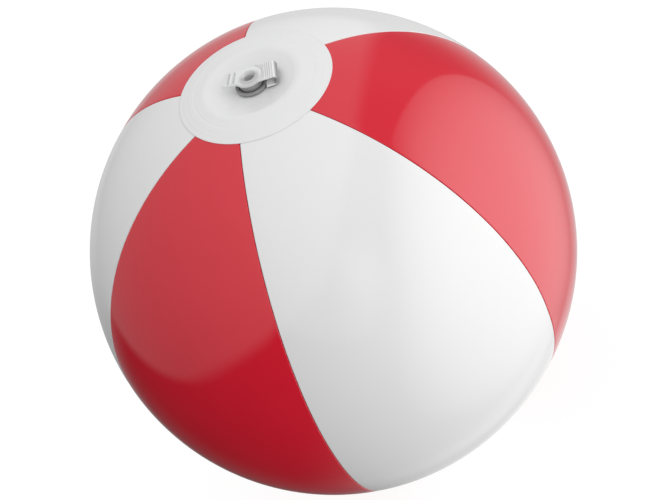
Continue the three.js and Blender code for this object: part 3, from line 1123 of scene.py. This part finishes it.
def glossy_surround(x, y, z):
    """What the glossy skin mirrors: a dim room, a soft white wall on the left, a glow from the
    lower right and a big soft box on the right."""
    room = y.step(*ROOM_HORIZON) * ROOM_LIGHT + ROOM_DARK
    front = z.step(*FRONT_EDGE)
    room = room.towards(front * FRONT_LEVEL, front)
    room = room - y.step(*TOP_SHADE_UP) * z.step(*TOP_SHADE_AWAY) * TOP_SHADE

    turn = x.over((x * x + y * y).combine("SQRT").at_least(TURN_GUARD))
    glow = turn.step(*GLOW_TURN) * y.step(*GLOW_BELOW).inverted()
    glow = glow * (z.step(*GLOW_RIM) * (1 - GLOW_AT_RIM) + GLOW_AT_RIM) * GLOW
    behind = y.step(*BEHIND_ABOVE_EDGE) * BEHIND_ABOVE + BEHIND
    behind = behind + turn.step(*BEHIND_TURN) * y.step(*BEHIND_BELOW_EDGE).inverted() * BEHIND_BELOW
    room = room + glow + z.step(*BEHIND_EDGE) * behind

    inside = 1
    for *axis, offset, softness in WALL_PLANES:
        inside = dot(x, y, z, axis).step(offset - softness, offset + softness) * inside
    room = room.towards(y * WALL_UP + z * WALL_BACK + WALL_LEVEL, inside)
    return room.towards(soft_box(x, y, z).combine("MAXIMUM", glow), box_outline(x, y, z))


def on_box_plane(x, y, z, centre):
    """Up and back from a centre, on the plane the soft box is drawn on."""
    depth = x.at_least(PLANE_GUARD)
    return y.over(depth) - centre[0], z.over(depth) - centre[1]


def soft_box(x, y, z):
    """Level of the big soft box: a broad peak that falls away."""
    v, w = on_box_plane(x, y, z, BOX_PEAK)
    return (v * v * -BOX_FALL[0] - w * w * BOX_FALL[1]).exp() * BOX_LEVEL


def box_outline(x, y, z):
    """One inside the soft box: half an ellipse upward, endless downward, softer at its foot."""
    v, w = on_box_plane(x, y, z, BOX_CENTRE)
    v, w = v.at_least(0.0) * (1 / BOX_HALF[0]), w * (1 / BOX_HALF[1])
    foot = on_box_plane(x, y, z, (0, 0))[0].step(*BOX_SOFT_EDGE).inverted()
    softness = foot * BOX_SOFT_BELOW + BOX_SOFT
    return (v * v + w * w).inverted().over(softness).step(-1, 1) * x.step(*BOX_SIDE_EDGE)


def soft_surround(x, y, z):
    """What lights the matt colour: an even room, brighter from the upper right and the front."""
    even = x * DIFFUSE_RIGHT + y * DIFFUSE_UP + (x * x - y * y) * DIFFUSE_SIDES + DIFFUSE_EVEN
    even = even + x * y * DIFFUSE_CORNER + x * z * DIFFUSE_BEHIND_RIGHT
    even = even + y * z * DIFFUSE_BEHIND_UP + z * z * DIFFUSE_ENDS
    return even + dot(x, y, z, LAMP_AXIS).step(*LAMP_EDGE) * LAMP


world = bpy.data.worlds.new("studio")
bpy.context.scene.world = world
world.use_nodes = True
tree = world.node_tree
tree.nodes.clear()
place = tree.nodes.new("ShaderNodeTexCoord").outputs["Generated"]
x, y, z = (along(tree, place, tuple(axis)) for axis in (right, up, back))
path = tree.nodes.new("ShaderNodeLightPath")
seen = Light(tree, path.outputs["Is Camera Ray"])
mirrored = Light(tree, path.outputs["Is Glossy Ray"])
shiny = mirrored.at_least(Light(tree, path.outputs["Is Transmission Ray"]))
strength = soft_surround(x, y, z).towards(glossy_surround(x, y, z), shiny)
strength = strength * seen.inverted() + seen * BACKDROP
background = tree.nodes.new("ShaderNodeBackground")
background.inputs["Color"].default_value = (1, 1, 1, 1)
tree.links.new(strength.at_least(0.0).socket, background.inputs["Strength"])
output = tree.nodes.new("ShaderNodeOutputWorld")
tree.links.new(background.outputs["Background"], output.inputs["Surface"])

bpy.context.scene.view_settings.view_transform = "Standard"
bpy.context.scene.view_settings.look = "None"


def studio_floor():
    """Pale floor at the foot of the ball; it is seen but casts nothing back on the ball."""
    material = bpy.data.materials.new("studio_floor")
    material.use_nodes = True
    principled = material.node_tree.nodes["Principled BSDF"]
    principled.inputs["Base Color"].default_value = (*STUDIO_FLOOR_COLOUR, 1)
    principled.inputs["Roughness"].default_value = STUDIO_FLOOR_ROUGHNESS
    principled.inputs["Specular IOR Level"].default_value = 0
    principled.inputs["Emission Color"].default_value = (1, 1, 1, 1)
    principled.inputs["Emission Strength"].default_value = STUDIO_FLOOR_GLOW
    reach, level = STUDIO_FLOOR_REACH, -BASE_LEVEL
    corners = ((-reach, -reach), (reach, -reach), (reach, reach), (-reach, reach))
    points = [(*corner, level) for corner in corners]
    mesh = bpy.data.meshes.new("studio_floor")
    mesh.from_pydata(points, [], [(0, 1, 2, 3)])
    mesh.materials.append(material)
    floor = bpy.data.objects.new("studio_floor", mesh)
    bpy.context.scene.collection.objects.link(floor)
    floor.visible_diffuse = False
    floor.visible_glossy = False
    floor.visible_shadow = False
    return floor


studio_floor()
